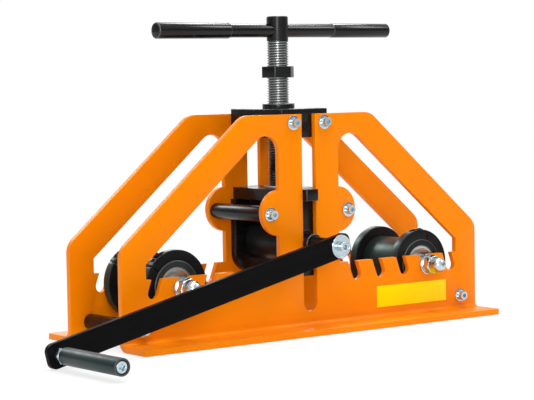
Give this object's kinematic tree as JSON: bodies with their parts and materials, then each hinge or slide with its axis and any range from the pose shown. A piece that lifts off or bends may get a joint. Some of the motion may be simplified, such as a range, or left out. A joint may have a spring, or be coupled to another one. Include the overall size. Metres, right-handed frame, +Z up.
{
  "type": "ring roller",
  "caption": "Hand-cranked bench ring roller: folded side plates, slotted lower rollers, screw-pressed centre roller, long crank with grip.",
  "frame": {"origin": "on the bench surface under the middle of the centre slots, halfway between the two side plates", "axes": "+X along the machine to the right as seen from the crank side, +Y from the crank side to the rear, +Z up along the spindle"},
  "size_m": [0.7705, 0.3868, 0.4327],
  "materials": {
    "orange_paint": "powder coat, satin",
    "blackened_steel": "black oxide, oiled",
    "bright_steel": "machined, bare",
    "zinc_plate": "bright zinc plated",
    "bronze": "sintered bearing bronze, dark with oil",
    "label_film": "plain yellow film, no print"
  },
  "bodies": {
    "frame": {"front_side_plate": "orange_paint", "rear_side_plate": "orange_paint", "top_block": "blackened_steel", "spindle_nut": "blackened_steel", "ear_spacer_left": "blackened_steel", "ear_spacer_right": "blackened_steel", "base_spacer_left": "blackened_steel", "base_spacer_right": "blackened_steel", "side_screws": "zinc_plate", "side_washers": "zinc_plate", "label_plate": "label_film", "left_axle": "zinc_plate", "right_axle": "zinc_plate", "left_bearing_inner_rings": "bright_steel", "right_bearing_inner_rings": "bright_steel", "left_end_spacers": "bright_steel", "right_end_spacers": "bright_steel", "axle_washers": "zinc_plate", "dome_nuts": "zinc_plate"},
    "carriage": {"carriage_cap": "blackened_steel", "front_cheek": "blackened_steel", "rear_cheek": "blackened_steel", "cheek_screws": "blackened_steel", "shaft_bushes": "bronze", "spindle_thrust_washer": "bright_steel"},
    "spindle": {"spindle_screw": "bright_steel", "cross_bar": "blackened_steel", "bar_sleeves": "blackened_steel", "retainer_washer": "zinc_plate", "retainer_screw": "zinc_plate"},
    "lock_nut": {"lock_nut": "blackened_steel"},
    "crank": {"drive_shaft": "blackened_steel", "centre_roller": "blackened_steel", "roller_key": "bright_steel", "shaft_collars": "blackened_steel", "collar_set_screws": "blackened_steel", "crank_arm": "blackened_steel", "crank_washer": "zinc_plate", "crank_screw": "zinc_plate", "grip_screw": "zinc_plate", "grip_nut": "zinc_plate"},
    "grip": {"grip_sleeve": "blackened_steel"},
    "left_roller": {"left_roller_core": "blackened_steel", "left_bearing_outer_rings": "bright_steel", "left_bearing_balls": "bright_steel"},
    "left_front_ring": {"left_front_ring": "blackened_steel", "left_front_ring_screw": "blackened_steel"},
    "left_rear_ring": {"left_rear_ring": "blackened_steel", "left_rear_ring_screw": "blackened_steel"},
    "right_roller": {"right_roller_core": "blackened_steel", "right_bearing_outer_rings": "bright_steel", "right_bearing_balls": "bright_steel"},
    "right_front_ring": {"right_front_ring": "blackened_steel", "right_front_ring_screw": "blackened_steel"},
    "right_rear_ring": {"right_rear_ring": "blackened_steel", "right_rear_ring_screw": "blackened_steel"}
  },
  "joints": [
    {"name": "carriage_lift", "type": "slide", "parent": "frame", "child": "carriage", "axis": [0, 0, 1], "range_m": [-0.0355, 0.0655]},
    {"name": "spindle_turn", "type": "hinge", "parent": "carriage", "child": "spindle", "pos_m": [0, 0, 0.413], "axis": [0, 0, 1], "range_deg": [-3650, 6735]},
    {"name": "lock_nut_run", "type": "slide", "parent": "spindle", "child": "lock_nut", "axis": [0, 0, 1], "range_m": [0, 0.034]},
    {"name": "crank_turn", "type": "hinge", "parent": "carriage", "child": "crank", "pos_m": [0, 0, 0.12], "axis": [0, 1, 0], "continuous": true},
    {"name": "grip_turn", "type": "hinge", "parent": "crank", "child": "grip", "pos_m": [-0.44335, -0.2078, 0.0177], "axis": [0, 1, 0], "continuous": true},
    {"name": "left_roller_turn", "type": "hinge", "parent": "frame", "child": "left_roller", "pos_m": [-0.21516, 0, 0.07638], "axis": [0, 1, 0], "continuous": true},
    {"name": "left_front_ring_set", "type": "slide", "parent": "left_roller", "child": "left_front_ring", "axis": [0, 1, 0], "range_m": [0, 0.03]},
    {"name": "left_rear_ring_set", "type": "slide", "parent": "left_roller", "child": "left_rear_ring", "axis": [0, -1, 0], "range_m": [0, 0.03]},
    {"name": "right_roller_turn", "type": "hinge", "parent": "frame", "child": "right_roller", "pos_m": [0.21516, 0, 0.07638], "axis": [0, 1, 0], "continuous": true},
    {"name": "right_front_ring_set", "type": "slide", "parent": "right_roller", "child": "right_front_ring", "axis": [0, 1, 0], "range_m": [0, 0.03]},
    {"name": "right_rear_ring_set", "type": "slide", "parent": "right_roller", "child": "right_rear_ring", "axis": [0, -1, 0], "range_m": [0, 0.03]}
  ],
  "couplings": [
    {"joint": "carriage_lift", "follows": "spindle_turn", "m_per_rad": 0.00055704}
  ]
}
